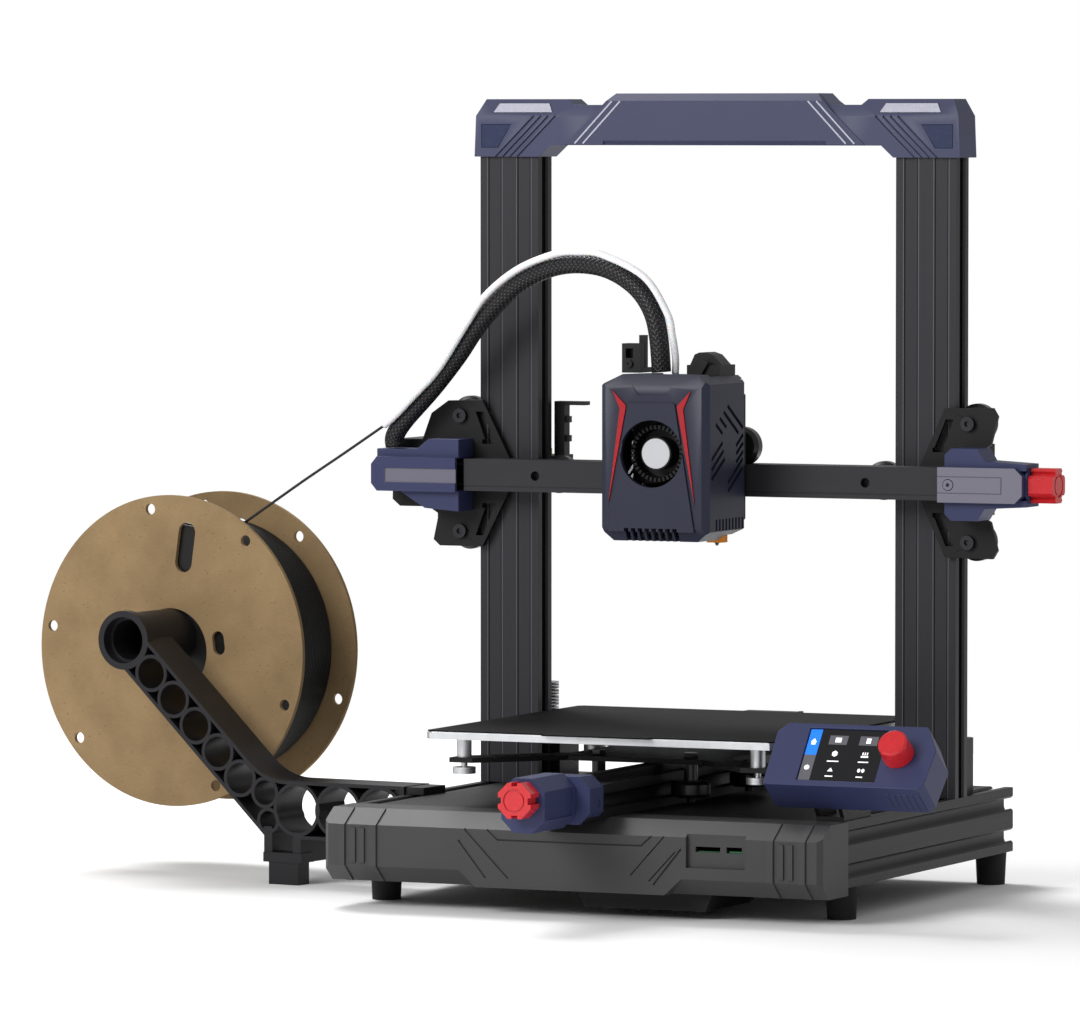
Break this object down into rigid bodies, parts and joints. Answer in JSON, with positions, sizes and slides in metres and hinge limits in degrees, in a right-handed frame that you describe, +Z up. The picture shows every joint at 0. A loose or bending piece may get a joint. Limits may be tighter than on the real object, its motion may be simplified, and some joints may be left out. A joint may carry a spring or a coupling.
{
  "type": "desktop filament printer",
  "caption": "Desktop filament printer: open frame, bed that slides front to back, lifting gantry with a print head, touch-off screen with dial, and a side arm with a filament spool.",
  "frame": {"origin": "On the bench, on the middle line between the two uprights, under their front faces", "axes": "+X to the machine's right as seen by someone in front of it, +Y to the back, +Z up"},
  "size_m": [0.6936, 0.4589, 0.4925],
  "materials": {
    "profile_black": "satin",
    "dark_plastic": "matte",
    "navy_plastic": "matte",
    "navy_gloss": "gloss",
    "pale_trim": "satin",
    "red_plastic": "gloss",
    "black_plastic": "matte",
    "black_sheet_metal": "satin",
    "bright_metal": "satin",
    "motor_black": "satin",
    "rubber_black": "matte",
    "brass": "satin",
    "plate_aluminium": "satin",
    "spring_sheet": "matte",
    "cardboard": "matte",
    "filament_black": "satin",
    "screen_glass": "gloss",
    "board_green": "satin",
    "silicone_orange": "matte",
    "sleeve_black": "matte",
    "feed_white": "satin"
  },
  "bodies": {
    "frame": {"base_rails": "profile_black", "front_cover": "dark_plastic", "rear_cover": "black_sheet_metal", "base_top_plate": "black_sheet_metal", "base_pan": "black_sheet_metal", "power_supply": "plate_aluminium", "main_board": "board_green", "power_inlet": "black_plastic", "feet": "rubber_black", "uprights": "profile_black", "top_bar": "navy_plastic", "top_bar_inlays": "pale_trim", "y_rail": "profile_black", "y_tensioner_housing": "navy_plastic", "y_motor": "motor_black", "y_belt": "rubber_black", "z_motors": "motor_black", "screen_bracket": "black_sheet_metal", "screen_housing": "navy_plastic", "screen_glass": "screen_glass", "spool_arm": "black_plastic"},
    "switch": {"power_switch": "red_plastic"},
    "y_knob": {"y_tension_knob": "red_plastic"},
    "y_idler": {"y_idler_pulley": "bright_metal"},
    "y_drive": {"y_drive_pulley": "bright_metal"},
    "screw_left": {"lead_screw_left": "bright_metal"},
    "screw_right": {"lead_screw_right": "bright_metal"},
    "dial": {"screen_knob": "red_plastic"},
    "spool": {"cardboard_spool": "cardboard", "filament_winding": "filament_black"},
    "gantry": {"x_beam": "profile_black", "left_end_plate": "black_sheet_metal", "right_end_plate": "black_sheet_metal", "lead_nuts": "brass", "z_wheels": "black_plastic", "gantry_bolts": "bright_metal", "z_flag": "black_plastic", "left_end_cover": "navy_plastic", "x_motor": "motor_black", "x_belt": "rubber_black", "x_tensioner_housing": "navy_plastic", "cable_sleeve": "sleeve_black", "feed_tube": "feed_white", "filament_strand": "filament_black"},
    "x_drive": {"x_motor_pulley": "bright_metal"},
    "x_idler": {"x_idler_pulley": "bright_metal"},
    "x_knob": {"x_tension_knob": "red_plastic"},
    "head": {"head_back_plate": "black_sheet_metal", "head_wheels": "black_plastic", "head_cover": "navy_plastic", "head_inserts": "red_plastic", "extruder": "black_plastic", "hot_end": "bright_metal", "nozzle_sock": "silicone_orange", "cable_clamp": "black_plastic"},
    "blower": {"blower_wheel": "black_plastic"},
    "bed": {"bed_carriage": "black_sheet_metal", "bed_wheels": "black_plastic", "heated_bed": "plate_aluminium"},
    "sheet": {"build_sheet": "spring_sheet"}
  },
  "joints": [
    {"name": "z_lift", "type": "slide", "parent": "frame", "child": "gantry", "axis": [0, 0, 1], "range_m": [-0.1085, 0.1415], "deforming": ["filament_strand"]},
    {"name": "x_travel", "type": "slide", "parent": "gantry", "child": "head", "axis": [1, 0, 0], "range_m": [-0.12, 0.096], "deforming": ["cable_sleeve", "feed_tube"]},
    {"name": "y_travel", "type": "slide", "parent": "frame", "child": "bed", "axis": [0, 1, 0], "range_m": [-0.097, 0.118]},
    {"name": "sheet_pull", "type": "slide", "parent": "bed", "child": "sheet", "axis": [0, 0, 1], "range_m": [0, 0.06]},
    {"name": "spool_spin", "type": "hinge", "parent": "frame", "child": "spool", "pos_m": [-0.367, -0.09, 0.139], "axis": [0.1045, 0.9945, 0], "continuous": true},
    {"name": "left_screw_turn", "type": "hinge", "parent": "frame", "child": "screw_left", "pos_m": [-0.134, 0.038, 0], "axis": [0, 0, 1], "continuous": true},
    {"name": "right_screw_turn", "type": "hinge", "parent": "frame", "child": "screw_right", "pos_m": [0.134, 0.038, 0], "axis": [0, 0, 1], "continuous": true},
    {"name": "x_drive_turn", "type": "hinge", "parent": "gantry", "child": "x_drive", "pos_m": [-0.198, 0, 0.2543], "axis": [0, 1, 0], "continuous": true},
    {"name": "x_idler_turn", "type": "hinge", "parent": "gantry", "child": "x_idler", "pos_m": [0.195, 0, 0.2543], "axis": [0, 1, 0], "continuous": true},
    {"name": "y_drive_turn", "type": "hinge", "parent": "frame", "child": "y_drive", "pos_m": [0, 0.1395, 0.0771], "axis": [1, 0, 0], "continuous": true},
    {"name": "y_idler_turn", "type": "hinge", "parent": "frame", "child": "y_idler", "pos_m": [0, -0.262, 0.0771], "axis": [1, 0, 0], "continuous": true},
    {"name": "x_tension_turn", "type": "hinge", "parent": "gantry", "child": "x_knob", "pos_m": [0.22, -0.016, 0.2543], "axis": [1, 0, 0], "continuous": true},
    {"name": "y_tension_turn", "type": "hinge", "parent": "frame", "child": "y_knob", "pos_m": [0, -0.286, 0.076], "axis": [0, 1, 0], "continuous": true},
    {"name": "dial_turn", "type": "hinge", "parent": "frame", "child": "dial", "pos_m": [0.1985, -0.18677, 0.10188], "axis": [0, -0.788, 0.6157], "continuous": true},
    {"name": "blower_spin", "type": "hinge", "parent": "head", "child": "blower", "pos_m": [-0.0025, -0.08, 0.2725], "axis": [0, 1, 0], "continuous": true},
    {"name": "switch_rock", "type": "hinge", "parent": "frame", "child": "switch", "pos_m": [-0.052, 0.095, 0.04], "axis": [0, 0, 1], "range_deg": [-9, 9]}
  ],
  "couplings": [
    {"joint": "left_screw_turn", "follows": "z_lift", "rad_per_m": 785.4},
    {"joint": "right_screw_turn", "follows": "z_lift", "rad_per_m": 785.4},
    {"joint": "x_drive_turn", "follows": "x_travel", "rad_per_m": 156.25},
    {"joint": "x_idler_turn", "follows": "x_travel", "rad_per_m": 156.25},
    {"joint": "y_drive_turn", "follows": "y_travel", "rad_per_m": -156.25},
    {"joint": "y_idler_turn", "follows": "y_travel", "rad_per_m": -156.25}
  ]
}
